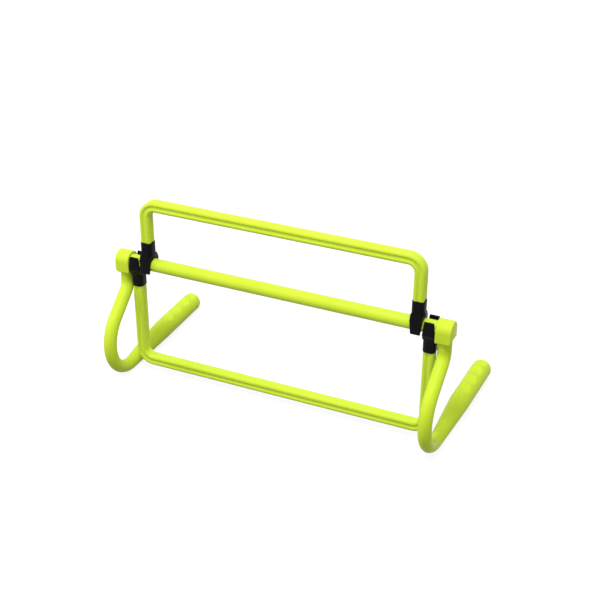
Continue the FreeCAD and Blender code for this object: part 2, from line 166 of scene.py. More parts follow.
class FlipSizes(bpy.types.PropertyGroup):
    """Sizes of the two flip frames."""
    inner_reach: length("Inner reach", "From the bar's axis to the inner frame's cross tube", 0.0797)
    outer_reach: length("Outer reach", "From the bar's axis to the outer frame's cross tube", 0.1358)
    corner_radius: length("Corner radius", "Bend of a frame's corners on the tube's axis", 0.015)
    width: length("Tube width", "Across the tube, in the frame's plane", 0.0134)
    depth: length("Tube depth", "Across the tube, front to back", 0.0136)
    edge_round: length("Edge round", "Rounding of the tube's edges", 0.0032)
    flute_radius: length("Flute radius", "Curve of the groove along each face", 0.0044)
    flute_depth: length("Flute depth", "Depth of the groove along each face", 0.0009)
    flute_soft: length("Flute lip", "Rounding of the groove's two lips", 0.0009)


class ClipSizes(bpy.types.PropertyGroup):
    """Sizes of the snap clips."""
    width: length("Width", "Along the crossbar", 0.0152)
    gap: length("Gap", "Between the two clips of one side", 0.0004)
    cap_gap: length("Cap gap", "Between the outer clips and the caps", 0.0004)
    sleeve_depth: length("Sleeve depth", "Sleeve, front to back", 0.016)
    sleeve_round: length("Sleeve round", "Rounding of the sleeve's upright edges", 0.0054)
    rim_reach: length("Rim reach", "From the bar's axis to the sleeve's rim", 0.031)
    rim_round: length("Rim round", "Rounding of the sleeve's rim", 0.0007)
    socket_depth: length("Socket depth", "How deep a frame's end sits in the sleeve", 0.016)
    shoulder_reach: length("Shoulder reach", "Where the sleeve starts to widen into the jaws", 0.015)
    jaw_shoulder: length("Jaw shoulder", "Where the jaws reach their full depth", 0.0074)
    jaw_depth: length("Jaw depth", "Jaws, front to back", 0.022)
    jaw_reach: length("Jaw reach", "From the bar's axis to the jaws' tips", 0.0094)
    jaw_taper: length("Jaw taper", "How much each side of the jaws narrows at the tips", 0.0018)
    jaw_round: length("Jaw round", "Rounding of the jaws' edges", 0.0012)
    edge_round: length("Edge round", "Rounding of the edges round the clip's two sides", 0.0004)
    mouth_width: length("Mouth width", "Between the jaws' tips", 0.0168)
    throat_width: length("Throat width", "Narrowest place between the jaws", 0.0147)
    bearing_gap: length("Bearing gap", "Play of the clip on the crossbar", 0.00005)


class FastenerSizes(bpy.types.PropertyGroup):
    """Sizes of the screws and pins."""
    screw_diameter: length("Screw diameter", "Shank of a screw", 0.003)
    screw_gap: length("Screw gap", "Play of a screw in its hole", 0.00005)
    head_diameter: length("Head diameter", "Pan head of a screw", 0.0056)
    head_height: length("Head height", "Pan head of a screw", 0.0018)
    head_crown: length("Head crown", "Rounding of a pan head's rim", 0.00126)
    cross_length: length("Cross length", "Cross recess in a head", 0.0031)
    cross_width: length("Cross width", "Each arm of the cross recess", 0.0007)
    cross_depth: length("Cross depth", "Cross recess in a head", 0.0012)
    point: length("Point", "Blunt end of a screw", 0.0006)
    head_recess: length("Head recess", "Seat of a bar screw's head in the cap", 0.002)
    bar_screw_length: length("Bar screw length", "Under the head", 0.009)
    leg_screw_drop: length("Leg screw drop", "From the bar's axis down to the leg screws", 0.0205)
    leg_screw_length: length("Leg screw length", "Under the head", 0.007)
    leg_flat_depth: length("Leg flat depth", "Spot face in the leg for the screw's head", 0.0009)
    pin_diameter: length("Pin diameter", "Pin through a clip's sleeve", 0.0025)
    pin_reach: length("Pin reach", "From the bar's axis to the pin", 0.023)
    pin_recess: length("Pin recess", "How far a pin's ends lie under the sleeve's faces", 0.0003)


class FinishColours(bpy.types.PropertyGroup):
    """Colours of the plastics and the metal."""
    lime: colour("Lime", "Main tone of the lime plastic", (0.58, 0.74, 0.04))
    lime_deep: colour("Deep lime", "Deeper tone that clouds the lime plastic", (0.54, 0.7, 0.034))
    black: colour("Black", "Clips and their pins", (0.0022, 0.0022, 0.003))
    black_worn: colour("Worn black", "Paler clouds on the clips", (0.004, 0.004, 0.0055))
    dark: colour("Dark grey", "Plugs inside the crossbar", (0.03, 0.03, 0.03))
    steel: colour("Steel", "Plated screws", (0.56, 0.57, 0.58))
    steel_dull: colour("Dull steel", "Darker clouds on the screws", (0.46, 0.47, 0.48))


class StageSizes(bpy.types.PropertyGroup):
    """Camera and studio."""
    azimuth: angle("Azimuth", "Camera's turn round the hurdle, from straight in front", 24.933)
    elevation: angle("Elevation", "Camera's height above the horizon", 30.324)
    distance: length("Distance", "From the camera to its aim", 1.4796)
    aim_back: length("Aim back", "Aim behind the crossbar", 0.0287)
    aim_height: length("Aim height", "Aim above the floor", 0.082)
    lens: amount("Lens", "Focal length in millimetres", 72.786, min=1)
    shift_x: amount("Shift X", "Sideways shift of the picture", 0.0198)
    shift_y: amount("Shift Y", "Upward shift of the picture", 0.0557)
    floor_width: length("Floor width", "Side of the square floor", 16)
    floor_tone: amount("Floor tone", "How much light the floor throws back", 0.2)
    floor_lift: amount("Floor lift", "Glow that makes the floor look white", 0.85)
    room_light: amount("Room light", "Even light from all round", 0.8, min=0)
    key_place: spot("Key place", "Soft box overhead and in front, from the aim", (0.05, -0.75, 1.7))
    key_size: length("Key size", "Side of the overhead soft box", 0.55)
    key_power: amount("Key power", "Overhead soft box", 21.5, min=0, unit="POWER")
    fill_place: spot("Fill place", "Soft box on the left, from the aim", (-1.7, -0.7, 0.7))
    fill_size: length("Fill size", "Side of the soft box on the left", 0.6)
    fill_power: amount("Fill power", "Soft box on the left", 9, min=0, unit="POWER")


class HurdleSettings(bpy.types.PropertyGroup):
    """Everything that shapes and colours the hurdle."""
    bar: PointerProperty(type=BarSizes)
    cap: PointerProperty(type=CapSizes)
    leg: PointerProperty(type=LegSizes)
    flip: PointerProperty(type=FlipSizes)
    clip: PointerProperty(type=ClipSizes)
    fastener: PointerProperty(type=FastenerSizes)
    finish: PointerProperty(type=FinishColours)
    stage: PointerProperty(type=StageSizes)


# Outlines and plain solids

def rounded(corners, steps=CORNER_STEPS):
    """Points of a closed outline whose corners, each (across, up, radius), are rounded by arcs."""
    points = []
    for index, (across, up, radius) in enumerate(corners):
        corner = Vector((across, up))
        if radius == 0:
            points.append(corner)
            continue
        before = (Vector(corners[index - 1][:2]) - corner).normalized()
        after = (Vector(corners[(index + 1) % len(corners)][:2]) - corner).normalized()
        half = before.angle(after) / 2
        centre = corner + (before + after).normalized() * (radius / math.sin(half))
        first = corner + before * (radius / math.tan(half)) - centre
        last = corner + after * (radius / math.tan(half)) - centre
        start = math.atan2(first.y, first.x)
        sweep = math.remainder(math.atan2(last.y, last.x) - start, math.tau)
        points += arc(centre, radius, start, start + sweep, steps)
    return points


def arc(centre, radius, start, end, steps):
    """Points along an arc, both ends included."""
    turns = (start + (end - start) * step / steps for step in range(steps + 1))
    return [Vector(centre) + radius * Vector((math.cos(turn), math.sin(turn))) for turn in turns]


def rectangle(width, depth, radius):
    """A rounded rectangle about the origin."""
    return rounded([(width / 2, depth / 2, radius), (-width / 2, depth / 2, radius),
                    (-width / 2, -depth / 2, radius), (width / 2, -depth / 2, radius)])


def shrunk(outline, amount):
    """A closed outline moved inwards by a small amount, along the normals at its points."""
    area = sum(here.cross(there) for here, there in zip(outline, outline[1:] + outline[:1]))
    inward = math.copysign(amount, area)
    moved = []
    for index, here in enumerate(outline):
        before = (here - outline[index - 1]).normalized()
        after = (outline[(index + 1) % len(outline)] - here).normalized()
        along = (before + after).normalized()
        reach = inward / max(along.dot(after), SHARPEST_MOVE)
        moved.append(here + Vector((-along.y, along.x)) * reach)
    return moved


def edge_rounding(radius, steps=EDGE_STEPS):
    """Pairs of (inset, setback) that round an edge from its face to its side."""
    turns = (math.pi / 2 * step / steps for step in range(steps + 1))
    return [(radius * (1 - math.sin(turn)), radius * (1 - math.cos(turn))) for turn in turns]


def loft(rings, ends=True, loop=False):
    """A closed mesh through rings of equally many points, capped at both ends or joined end to end."""
    build = bmesh.new()
    rows = [[build.verts.new(point) for point in ring] for ring in rings]
    pairs = list(zip(rows, rows[1:]))
    if loop:
        pairs.append((rows[-1], rows[0]))
    for lower, upper in pairs:
        for here in range(len(lower)):
            there = here - 1
            build.faces.new((lower[there], lower[here], upper[here], upper[there]))
    if ends:
        build.faces.new(rows[0])
        build.faces.new(rows[-1])
    bmesh.ops.recalc_face_normals(build, faces=build.faces)
    mesh = bpy.data.meshes.new("shape")
    build.to_mesh(mesh)
    build.free()
    return mesh


def turned(axis_profile, place=Matrix(), sides=ROUND_SIDES):
    """A solid turned about its own Z from pairs of (height, radius), then put in place."""
    angles = [math.tau * step / sides for step in range(sides)]
    rings = [[place @ Vector((radius * math.cos(turn), radius * math.sin(turn), height)) for turn in angles]
             for height, radius in axis_profile]
    return loft(rings)


def rod(start, end, radius):
    """A plain round rod between two points."""
    start = Vector(start)
    along = Vector(end) - start
    place = Matrix.Translation(start) @ along.to_track_quat("Z", "Y").to_matrix().to_4x4()
    return turned(((0, radius), (along.length, radius)), place)


def baked(thing):
    """The plain mesh of an object with its modifiers applied; the object itself goes."""
    mesh = bpy.data.meshes.new_from_object(thing.evaluated_get(bpy.context.evaluated_depsgraph_get()))
    bpy.data.objects.remove(thing)
    return mesh


def linked(name, data):
    """A new object of the scene."""
    thing = bpy.data.objects.new(name, data)
    bpy.context.scene.collection.objects.link(thing)
    return thing


def combined(operation, mesh, *others):
    """A mesh joined with others, or cut by them."""
    thing = linked("combined", mesh)
    tools = [linked("tool", other) for other in others]
    for tool in tools:
        modifier = thing.modifiers.new(tool.name, "BOOLEAN")
        modifier.operation = operation
        modifier.solver = "EXACT"
        modifier.object = tool
    result = baked(thing)
    for tool in tools:
        bpy.data.objects.remove(tool)
    return result


def finished(name, mesh, material, body, slot, *nodes):
    """A piece of the hurdle that stands for some of the frame's nodes and moves with a body."""
    mesh.name = name
    mesh.materials.clear()
    mesh.materials.append(material)
    mesh.polygons.foreach_set("material_index", [0] * len(mesh.polygons))
    mesh.shade_smooth()
    mesh.set_sharp_from_angle(angle=CREASE)
    piece = linked(name, mesh)
    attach(piece, body)
    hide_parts(*nodes)
    return piece


# Node trees

class Number:
    """A number inside a node tree, for plain arithmetic between node sockets."""

    def __init__(self, tree, socket):
        self.tree = tree
        self.socket = socket

    def worked(self, operation, *others):
        """The result of a Math node on this number and others."""
        node = self.tree.nodes.new("ShaderNodeMath")
        node.operation = operation
        for entry, value in zip(node.inputs, (self, *others)):
            if isinstance(value, Number):
                self.tree.links.new(value.socket, entry)
            else:
                entry.default_value = value
        return Number(self.tree, node.outputs["Value"])

    def __add__(self, other):
        return self.worked("ADD", other)

    def __sub__(self, other):
        return self.worked("SUBTRACT", other)

    def __mul__(self, other):
        return self.worked("MULTIPLY", other)

    def __truediv__(self, other):
        return self.worked("DIVIDE", other)

    def at_least(self, other):
        """The larger of two numbers."""
        return self.worked("MAXIMUM", other)

    def at_most(self, other):
        """The smaller of two numbers."""
        return self.worked("MINIMUM", other)

    def root(self):
        """The square root."""
        return self.worked("SQRT")


class Tree:
    """A Geometry Nodes tree that is built step by step, with named inputs for its sizes."""

    def __init__(self, name):
        self.group = bpy.data.node_groups.new(name, "GeometryNodeTree")
        self.group.interface.new_socket("Geometry", in_out="INPUT", socket_type="NodeSocketGeometry")
        self.group.interface.new_socket("Geometry", in_out="OUTPUT", socket_type="NodeSocketGeometry")
        self.entry = self.group.nodes.new("NodeGroupInput")
        self.exit = self.group.nodes.new("NodeGroupOutput")
        self.values = {}

    def size(self, name, value, kind="NodeSocketFloat"):
        """A named input of the tree and the value that it is to have."""
        item = self.group.interface.new_socket(name, in_out="INPUT", socket_type=kind)
        self.values[item.identifier] = value
        return self.entry.outputs[name]

    def number(self, name, value):
        """A named input for arithmetic."""
        return Number(self.group, self.size(name, value))

    def node(self, kind, inputs=(), **settings):
        """A node with some of its settings and inputs, which are sockets, numbers or plain values."""
        node = self.group.nodes.new(kind)
        for key, value in settings.items():
            setattr(node, key, value)
        for key, value in dict(inputs).items():
            if isinstance(value, Number):
                value = value.socket
            if isinstance(value, bpy.types.NodeSocket):
                self.group.links.new(value, node.inputs[key])
            else:
                node.inputs[key].default_value = value
        return node

    def read(self, name, kind="FLOAT"):
        """A named attribute of the geometry."""
        named = self.node("GeometryNodeInputNamedAttribute", {"Name": name}, data_type=kind)
        return named.outputs["Attribute"]

    def applied(self, thing, geometry, material):
        """Ends the tree, runs it on an object and gives back the plain mesh."""
        plain = self.node("GeometryNodeRealizeInstances", {"Geometry": geometry})
        painted = self.node("GeometryNodeSetMaterial", {
            "Geometry": plain.outputs["Geometry"],
            "Material": self.size("Material", material, "NodeSocketMaterial"),
        })
        self.group.links.new(painted.outputs["Geometry"], self.exit.inputs["Geometry"])
        modifier = thing.modifiers.new(self.group.name, "NODES")
        modifier.node_group = self.group
        for identifier, value in self.values.items():
            modifier[identifier] = value
        return baked(thing)


def poly_curve(name, places, radii, closed):
    """A curve object of straight runs through places, whose points carry radii."""
    data = bpy.data.curves.new(name, "CURVE")
    data.dimensions = "3D"
    spline = data.splines.new("POLY")
    spline.points.add(len(places) - 1)
    for point, place, radius in zip(spline.points, places, radii):
        point.co = (*place, 1)
        point.radius = radius
    spline.use_cyclic_u = closed
    return linked(name, data)


def route(name, corners):
    """An open curve object through corners, each (place, radius of its bend)."""
    places, radii = zip(*corners)
    return poly_curve(name, places, radii, closed=False)


def outline_curve(name, outline):
    """A closed flat curve object to sweep along a route."""
    places = [(*point, 0) for point in outline]
    return poly_curve(name, places, [1] * len(places), closed=True)


def bent_route(tree, bend_steps):
    """The tree's incoming route with its corners rounded by the radii that its points carry."""
    bends = tree.node("GeometryNodeFilletCurve", {
        "Curve": tree.entry.outputs["Geometry"],
        "Radius": tree.read("radius"),
        "Count": tree.size("Bend steps", bend_steps, "NodeSocketInt"),
    }, mode="POLY")
    plain = tree.node("GeometryNodeSetCurveRadius", {"Curve": bends.outputs["Curve"], "Radius": 1.0})
    return plain.outputs["Curve"]


# Materials

def material_nodes(name):
    """A new node material with its tree and its Principled shader."""
    material = bpy.data.materials.new(name)
    material.use_nodes = True
    return material, material.node_tree, material.node_tree.nodes["Principled BSDF"]


def cloud(tree, scale, detail):
    """Noise on the piece's own coordinates, as a factor."""
    coordinates = tree.nodes.new("ShaderNodeTexCoord")
    noise = tree.nodes.new("ShaderNodeTexNoise")
    noise.inputs["Scale"].default_value = scale
    noise.inputs["Detail"].default_value = detail
    tree.links.new(coordinates.outputs["Object"], noise.inputs["Vector"])
    return noise.outputs["Fac"]


def tinted(tree, shader, factor, plain, deep):
    """Base colour that drifts between two tones."""
    ramp = tree.nodes.new("ShaderNodeValToRGB")
    low, high = ramp.color_ramp.elements
    low.position = TONE_LOW
    high.position = TONE_HIGH
    low.color = (*deep, 1)
    high.color = (*plain, 1)
    tree.links.new(factor, ramp.inputs["Fac"])
    tree.links.new(ramp.outputs["Color"], shader.inputs["Base Color"])


def roughened(tree, shader, factor, low, high):
    """Roughness that varies between two values."""
    spread = tree.nodes.new("ShaderNodeMapRange")
    spread.inputs["To Min"].default_value = low
    spread.inputs["To Max"].default_value = high
    tree.links.new(factor, spread.inputs["Value"])
    tree.links.new(spread.outputs["Result"], shader.inputs["Roughness"])


def grained(tree, shader, factor, strength, height):
    """A fine bump."""
    bump = tree.nodes.new("ShaderNodeBump")
    bump.inputs["Strength"].default_value = strength
    bump.inputs["Distance"].default_value = height
    tree.links.new(factor, bump.inputs["Height"])
    tree.links.new(bump.outputs["Normal"], shader.inputs["Normal"])


def plastic(name, plain, deep, gloss, roughness, grain_scale, grain_height):
    """Moulded plastic with drifting colour, uneven gloss and a fine skin."""
    material, tree, shader = material_nodes(name)
    tinted(tree, shader, cloud(tree, PLASTIC_TONE_SCALE, detail=3), plain, deep)
    roughened(tree, shader, cloud(tree, PLASTIC_GLOSS_SCALE, detail=4), *roughness)
    grained(tree, shader, cloud(tree, grain_scale, detail=2), PLASTIC_GRAIN_STRENGTH, grain_height)
    shader.inputs["Specular IOR Level"].default_value = gloss
    return material


def plated_steel(name, tone, deep):
    """Zinc-plated steel with fine uneven gloss."""
    material, tree, shader = material_nodes(name)
    tinted(tree, shader, cloud(tree, STEEL_TONE_SCALE, detail=4), tone, deep)
    roughened(tree, shader, cloud(tree, STEEL_GLOSS_SCALE, detail=3), *STEEL_ROUGHNESS)
    grained(tree, shader, cloud(tree, STEEL_GRAIN_SCALE, detail=2), STEEL_GRAIN_STRENGTH, STEEL_GRAIN_HEIGHT)
    shader.inputs["Metallic"].default_value = 1
    return material


def hurdle_material(kind):
    """The named finish of the hurdle, made once."""
    if kind in bpy.data.materials:
        return bpy.data.materials[kind]
    finish = bpy.context.scene.hurdle.finish
    if kind == "lime_tube":
        return plastic(kind, finish.lime, finish.lime_deep, gloss=0.16, roughness=(0.24, 0.32),
                       grain_scale=1400, grain_height=0.00003)
    if kind == "lime_moulding":
        return plastic(kind, finish.lime, finish.lime_deep, gloss=0.06, roughness=(0.28, 0.38),
                       grain_scale=1800, grain_height=0.00004)
    if kind == "black_moulding":
        return plastic(kind, finish.black, finish.black_worn, gloss=0.06, roughness=(0.30, 0.42),
                       grain_scale=2200, grain_height=0.00006)
    if kind == "dark_plug":
        return plastic(kind, finish.dark, finish.black_worn, gloss=0.3, roughness=(0.45, 0.6),
                       grain_scale=1500, grain_height=0.00005)
    return plated_steel(kind, finish.steel, finish.steel_dull)


# Places that several pieces share

def leg_x(settings, side):
    """The leg's upright axis."""
    return side * settings.cap.leg_spacing / 2


def clip_x(settings, which, side):
    """Middle of a clip along the crossbar."""
    clip = settings.clip
    cap_face = settings.cap.leg_spacing / 2 - settings.cap.inner_side
    outer = cap_face - clip.cap_gap - clip.width / 2
    return side * (outer if which == "outer" else outer - clip.width - clip.gap)


def flip_place(which):
    """From a frame drawn standing over the origin to its place on the crossbar; the outer one hangs."""
    turn = 0 if which == "inner" else math.pi
    return Matrix.Translation(BAR_AXIS) @ Matrix.Rotation(turn, 4, "X")


def toe_place(settings, side):
    """From the middle of the hurdle's bar to a leg's axis at bar height, turned with its foot."""
    place = Vector((leg_x(settings, side), BAR_AXIS.y, BAR_AXIS.z))
    return Matrix.Translation(place) @ Matrix.Rotation(-side * settings.leg.toe_out, 4, "Z")


# Operators

class HURDLE_OT_crossbar(bpy.types.Operator):
    """Build the crossbar's tube"""
    bl_idname = "hurdle.crossbar"
    bl_label = "Crossbar"

    def execute(self, context):
        settings = context.scene.hurdle
        bar = settings.bar
        half = settings.cap.leg_spacing / 2 + settings.cap.outer_side - settings.cap.end_wall
        outside = bar.diameter / 2
        inside = outside - bar.wall
        wall = [(half - bar.edge, outside), (half, outside - bar.edge), (half, inside)]
        profile = [(-along, radius) for along, radius in reversed(wall)] + wall
        rings = []
        for along, radius in profile:
            circle = arc((0, 0), radius, 0, math.tau, ROUND_SIDES)[:-1]
            rings.append([BAR_AXIS + Vector((along, *point)) for point in circle])
        finished("crossbar_tube", loft(rings, ends=False, loop=True), hurdle_material("lime_tube"),
                 "base", "bar_plastic", "crossbar")
        return {"FINISHED"}


class HURDLE_OT_corner_caps(bpy.types.Operator):
    """Build the two arch-topped corner caps"""
    bl_idname = "hurdle.corner_caps"
    bl_label = "Corner Caps"

    def arch(self, cap):
        """The cap's outline from the side: flat below, round on top."""
        half = cap.depth / 2
        top = [(*point, 0) for point in arc((0, 0), half, 0, math.pi, ROUND_SIDES // 2)]
        return rounded(top + [(-half, -cap.drop, cap.foot_round), (half, -cap.drop, cap.foot_round)])

    def block(self, cap, side):
        """The cap's solid block with rounded edges."""
        outline = self.arch(cap)
        rings = [(-cap.inner_side + setback, inset) for inset, setback in edge_rounding(cap.inner_round)]
        rings += [(cap.outer_side - setback, inset)
                  for inset, setback in reversed(edge_rounding(cap.outer_round))]
        return loft([[(side * across, *point) for point in shrunk(outline, inset)]
                     for across, inset in rings])

    def wedge(self, cap, side):
        """What the bevel under the outer face takes away."""
        spare = cap.depth
        inner, outer = cap.outer_side - cap.chamfer - spare, cap.outer_side + spare
        low, high = -cap.drop - spare, -cap.drop + cap.chamfer + spare
        corners = ((inner, low), (outer, high), (outer, low))
        return loft([[(side * across, depth, height) for across, height in corners]
                     for depth in (-spare, spare)])

    def execute(self, context):
        settings = context.scene.hurdle
        cap = settings.cap
        leg = settings.leg
        fastener = settings.fastener
        bar_radius = settings.bar.diameter / 2 + cap.socket_gap
        bar_end = cap.outer_side - cap.end_wall
        leg_radius = leg.diameter / 2 + cap.socket_gap
        stem_radius = leg.diameter / 2 - leg.wall - cap.socket_gap
        ceiling = -settings.bar.diameter / 2 - cap.socket_gap - cap.roof
        stem_profile = ((-cap.stem_reach, stem_radius - cap.inner_round),
                        (-cap.stem_reach + cap.inner_round, stem_radius),
                        (ceiling + cap.roof / 2, stem_radius))
        hole = fastener.screw_diameter / 2 + fastener.screw_gap
        seat = fastener.head_diameter / 2 + fastener.screw_gap
        back = cap.depth / 2
        for name, side in SIDES:
            bar_bore = rod((side * -cap.depth, 0, 0), (side * bar_end, 0, 0), bar_radius)
            leg_socket = rod((0, 0, -cap.depth), (0, 0, ceiling), leg_radius)
            screw_hole = rod((0, 0, 0), (0, cap.depth, 0), hole)
            screw_seat = rod((0, back - fastener.head_recess, 0), (0, cap.depth, 0), seat)
            stem = turned(stem_profile)
            mesh = combined("DIFFERENCE", self.block(cap, side), self.wedge(cap, side), leg_socket)
            mesh = combined("UNION", mesh, stem)
            mesh = combined("DIFFERENCE", mesh, bar_bore, screw_hole, screw_seat)
            mesh.transform(Matrix.Translation((leg_x(settings, side), BAR_AXIS.y, BAR_AXIS.z)))
            finished(f"{name}_elbow", mesh, hurdle_material("lime_moulding"), "base", "moulded_plastic",
                     f"{name}_corner_cap")
        return {"FINISHED"}


class HURDLE_OT_legs(bpy.types.Operator):
    """Build the two bent legs with their swelling, scalloped feet"""
    bl_idname = "hurdle.legs"
    bl_label = "Legs"

    def corners(self, settings):
        """The route's corners in the leg's own plane, from its top to the foot's end, with their radii."""
        leg = settings.leg
        cap = settings.cap
        tube = leg.diameter / 2
        top = -settings.bar.diameter / 2 - 2 * cap.socket_gap - cap.roof
        bend = -leg.bend_drop - leg.bend_radius * math.tan(leg.lean / 2)
        heel_axis = tube - leg.sole_depth - BAR_AXIS.z
        tip_axis = leg.foot_diameter / 2 - leg.sole_depth - BAR_AXIS.z
        shin_corner = heel_axis + leg.heel_radius + leg.shin_radius * math.tan(leg.lean / 2)
        front = (shin_corner - bend) * math.tan(leg.lean)
        heel_end = front + leg.heel_radius
        slope = (tip_axis - heel_axis) / leg.swell_length
        return heel_end, [
            ((0, 0, top), 0),
            ((0, 0, bend), leg.bend_radius),
            ((0, front, shin_corner), leg.shin_radius),
            ((0, front, heel_axis - slope * leg.heel_radius), leg.heel_radius),
            ((0, heel_end + leg.swell_length, tip_axis), leg.swell_bend),
            ((0, leg.foot_reach, tip_axis), 0),
        ]

    def swept(self, settings, name):
        """One leg in its own plane, swept along its route by a node tree."""
        leg = settings.leg
        heel_end, corners = self.corners(settings)
        tree = Tree("bent_leg")
        bends = bent_route(tree, LEG_BEND_STEPS)
        even = tree.node("GeometryNodeResampleCurve", {
            "Curve": bends, "Length": tree.size("Route step", ROUTE_STEP),
        }, mode="LENGTH").outputs["Curve"]
        whole = Number(tree.group, tree.node("GeometryNodeCurveLength", {"Curve": even}).outputs["Length"])
        passed = Number(tree.group, tree.node("GeometryNodeSplineParameter").outputs["Length"])
        to_tip = whole - passed
        tube = tree.number("Tube radius", leg.diameter / 2)
        foot = tree.number("Foot radius", leg.foot_diameter / 2)
        dome = tree.number("Tip round", leg.tip_round)
        even_run = tree.number("Even run", leg.foot_reach - heel_end - leg.swell_length)
        slimmed = (to_tip - even_run) / tree.number("Swell length", leg.swell_length)
        full = foot - (foot - tube) * slimmed.at_least(0.0).at_most(1.0)
        under_dome = (dome - to_tip).at_least(0.0)
        radius = full - dome + (dome * dome - under_dome * under_dome).root()
        marked = even
        for mark, value in (("to_tip", to_tip), ("full_radius", full)):
            marked = tree.node("GeometryNodeStoreNamedAttribute", {
                "Geometry": marked, "Name": mark, "Value": value,
            }, data_type="FLOAT", domain="POINT").outputs["Geometry"]
        circle = tree.node("GeometryNodeCurvePrimitiveCircle", {"Resolution": ROUND_SIDES, "Radius": 1.0})
        tube_mesh = tree.node("GeometryNodeCurveToMesh", {
            "Curve": marked, "Profile Curve": circle.outputs["Curve"], "Scale": radius, "Fill Caps": True,
        }).outputs["Mesh"]
        pressed = self.pressed(tree, leg, tube_mesh)
        merged = tree.node("GeometryNodeMergeByDistance", {"Geometry": pressed, "Distance": MERGE_REACH})
        lime = hurdle_material("lime_moulding")
        return tree.applied(route(name, corners), merged.outputs["Geometry"], lime)

    def pressed(self, tree, leg, mesh):
        """The foot's finger scallops, pressed into its top, and its flat sole."""
        to_tip = Number(tree.group, tree.read("to_tip"))
        full = Number(tree.group, tree.read("full_radius"))
        pitch = tree.number("Grip pitch", leg.grip_pitch)
        start = tree.number("Grip start", leg.grip_start)
        count = tree.number("Grip count", float(leg.grip_count))
        curve = tree.number("Grip radius", leg.grip_radius)
        floor = tree.number("Floor", -BAR_AXIS.z)
        sole = tree.number("Sole depth", leg.sole_depth)
        first = start - pitch / 2.0
        beside = (first - to_tip).at_least(to_tip - first - pitch * count).at_least(0.0)
        offset = (to_tip - first).worked("WRAP", pitch, 0.0) - pitch / 2.0
        crest = floor - sole + full * 2.0
        hollow = curve - (curve * curve - offset * offset).at_least(0.0).root()
        valley = crest - tree.number("Grip depth", leg.grip_depth) + hollow + beside * GRIP_RISE
        place = tree.node("GeometryNodeInputPosition").outputs["Position"]
        parts = tree.node("ShaderNodeSeparateXYZ", {"Vector": place})
        blend = tree.number("Grip blend", leg.grip_blend)
        height = Number(tree.group, parts.outputs["Z"])
        height = height.worked("SMOOTH_MIN", valley, blend).at_least(floor)
        moved = tree.node("ShaderNodeCombineXYZ", {
            "X": parts.outputs["X"], "Y": parts.outputs["Y"], "Z": height,
        })
        return tree.node("GeometryNodeSetPosition", {
            "Geometry": mesh, "Position": moved.outputs["Vector"],
        }).outputs["Geometry"]

    def execute(self, context):
        settings = context.scene.hurdle
        leg = settings.leg
        fastener = settings.fastener
        bore_radius = leg.diameter / 2 - leg.wall
        flat_radius = fastener.head_diameter / 2 + fastener.screw_gap
        hole_radius = fastener.screw_diameter / 2 + fastener.screw_gap
        flat_y = leg.diameter / 2 - fastener.leg_flat_depth
        screw_z = -fastener.leg_screw_drop
        for name, side in SIDES:
            mesh = self.swept(settings, f"{name}_leg_route")
            bore = rod((0, 0, 0), (0, 0, -leg.bend_drop - leg.wall), bore_radius)
            flat = rod((0, flat_y, screw_z), (0, leg.diameter, screw_z), flat_radius)
            hole = rod((0, 0, screw_z), (0, leg.diameter, screw_z), hole_radius)
            mesh = combined("DIFFERENCE", mesh, bore, flat, hole)
            mesh.transform(toe_place(settings, side))
            finished(f"{name}_bent_leg", mesh, hurdle_material("lime_moulding"), "base", "moulded_plastic",
                     f"{name}_leg")
        return {"FINISHED"}


class HURDLE_OT_flip_frames(bpy.types.Operator):
    """Build the two U-shaped flip frames of fluted tube"""
    bl_idname = "hurdle.flip_frames"
    bl_label = "Flip Frames"

    def fluted(self, flip):
        """The tube's section: a rounded square with a soft groove along each face."""
        half_width = flip.width / 2
        half_depth = flip.depth / 2
        drop = flip.flute_radius - flip.flute_depth
        half_chord = math.sqrt(flip.flute_radius ** 2 - drop ** 2)
        turn = math.asin(half_chord / flip.flute_radius) * FLUTE_ARC
        corners = []
        for quarter in range(4):
            facing = math.pi / 2 * quarter
            reach, beside = (half_depth, half_width) if quarter % 2 == 0 else (half_width, half_depth)
            out = Vector((math.cos(facing), math.sin(facing)))
            along = Vector((-out.y, out.x))
            corners.append((*(out * reach - along * half_chord), flip.flute_soft / 2))
            middle = out * (reach + drop)
            inward = facing + math.pi
            groove = arc(middle, flip.flute_radius, inward + turn, inward - turn, CORNER_STEPS)
            corners += [(*point, 0) for point in groove]
            corners.append((*(out * reach + along * half_chord), flip.flute_soft / 2))
            corners.append((*(out * reach + along * beside), flip.edge_round))
        return rounded(corners, EDGE_STEPS)

    def execute(self, context):
        settings = context.scene.hurdle
        flip = settings.flip
        clip = settings.clip
        start = clip.rim_reach - clip.socket_depth + clip.bearing_gap
        lime = hurdle_material("lime_tube")
        for which, reach in (("inner", flip.inner_reach), ("outer", flip.outer_reach)):
            far = clip_x(settings, which, 1)
            corners = [((-far, 0, start), 0), ((-far, 0, reach), flip.corner_radius),
                       ((far, 0, reach), flip.corner_radius), ((far, 0, start), 0)]
            tree = Tree(f"{which}_fluted_frame")
            upright = tree.node("GeometryNodeSetCurveNormal", {
                "Curve": bent_route(tree, FRAME_BEND_STEPS), "Normal": (0.0, 1.0, 0.0),
            }, mode="FREE")
            section = outline_curve(f"{which}_section", self.fluted(flip))
            profile = tree.node("GeometryNodeObjectInfo", {
                "Object": tree.size("Section", section, "NodeSocketObject"),
            })
            tube = tree.node("GeometryNodeCurveToMesh", {
                "Curve": upright.outputs["Curve"],
                "Profile Curve": profile.outputs["Geometry"],
                "Fill Caps": True,
            })
            mesh = tree.applied(route(f"{which}_route", corners), tube.outputs["Mesh"], lime)
            bpy.data.objects.remove(section)
            mesh.transform(flip_place(which))
            finished(f"{which}_flip_frame", mesh, lime, f"{which}_flip", "bar_plastic", f"{which}_frame")
        return {"FINISHED"}


